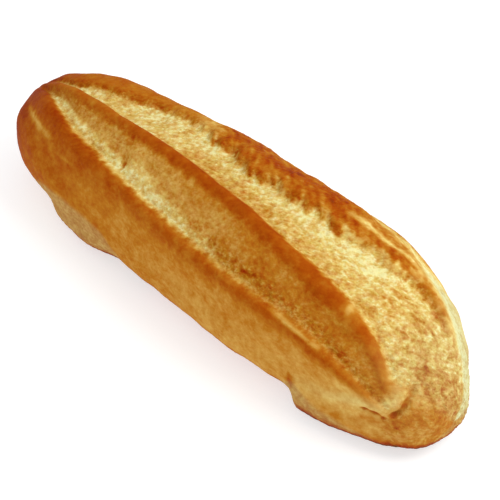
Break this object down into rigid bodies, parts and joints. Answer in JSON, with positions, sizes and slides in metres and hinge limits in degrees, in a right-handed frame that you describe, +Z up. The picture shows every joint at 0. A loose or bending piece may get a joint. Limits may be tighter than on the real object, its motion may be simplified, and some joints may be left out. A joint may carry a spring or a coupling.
{
  "type": "eclair",
  "caption": "Plain baked choux pastry eclair, uncut, with ridges along its browned top and pale rough crust between them.",
  "frame": {"origin": "middle of the underside, on the table", "axes": "+X along the length to the blunt end, +Y to the back, +Z up"},
  "size_m": [0.1404, 0.0436, 0.0368],
  "materials": {
    "crust": "baked pastry, matt with a soft sheen on the browned ridges"
  },
  "bodies": {
    "root": {"eclair": "crust"}
  },
  "joints": []
}
